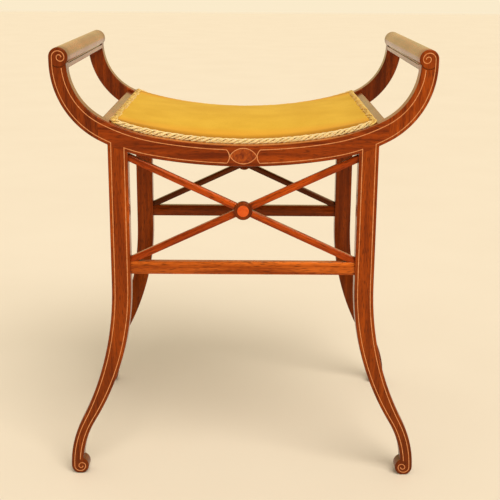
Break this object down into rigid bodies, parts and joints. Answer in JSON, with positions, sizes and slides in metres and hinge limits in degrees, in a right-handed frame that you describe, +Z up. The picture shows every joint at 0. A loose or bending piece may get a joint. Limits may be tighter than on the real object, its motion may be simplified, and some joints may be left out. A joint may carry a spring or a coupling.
{
  "type": "stool",
  "caption": "Strung mahogany window stool with scrolled arms and handrails, X-braced splayed legs and a dished gold velvet seat edged with braid.",
  "frame": {"origin": "on the floor, below the middle of the seat", "axes": "+X along the seat towards the right handrail, +Y from front to back, +Z up"},
  "size_m": [0.533, 0.378, 0.6389],
  "materials": {
    "mahogany": "red-brown polished mahogany with a soft gloss",
    "boxwood_stringing": "pale warm string inlay, polished over",
    "figured_veneer": "figured veneer, polished over",
    "satinwood_disc": "bright orange-gold wood disc, polished over",
    "beech": "plain unpolished beech",
    "steel_screws": "dull steel",
    "velvet": "short gold velvet pile",
    "braid": "looped cream and gold gimp braid",
    "webbing": "plain woven jute webbing",
    "hessian": "coarse woven jute",
    "stuffing": "hair under cotton wadding"
  },
  "bodies": {
    "root": {"arm_dowels": "beech", "back_boss": "mahogany", "back_boss_disc": "satinwood_disc", "back_brace_falling": "mahogany", "back_brace_rising": "mahogany", "back_left_arm": "mahogany", "back_left_corner_block": "beech", "back_left_leg": "mahogany", "back_oval_veneer": "figured_veneer", "back_rail": "mahogany", "back_right_arm": "mahogany", "back_right_corner_block": "beech", "back_right_leg": "mahogany", "back_stretcher": "mahogany", "back_stringing": "boxwood_stringing", "corner_block_screws": "steel_screws", "end_rail_dowels": "beech", "front_boss": "mahogany", "front_boss_disc": "satinwood_disc", "front_brace_falling": "mahogany", "front_brace_rising": "mahogany", "front_left_arm": "mahogany", "front_left_corner_block": "beech", "front_left_leg": "mahogany", "front_oval_veneer": "figured_veneer", "front_rail": "mahogany", "front_right_arm": "mahogany", "front_right_corner_block": "beech", "front_right_leg": "mahogany", "front_stretcher": "mahogany", "front_stringing": "boxwood_stringing", "handrail_dowels": "beech", "left_end_rail": "mahogany", "left_handrail": "mahogany", "right_end_rail": "mahogany", "right_handrail": "mahogany", "seat_braid": "braid", "seat_cover": "velvet", "seat_hessian": "hessian", "seat_stuffing": "stuffing", "seat_webbing_cross": "webbing", "seat_webbing_long": "webbing"}
  },
  "joints": []
}
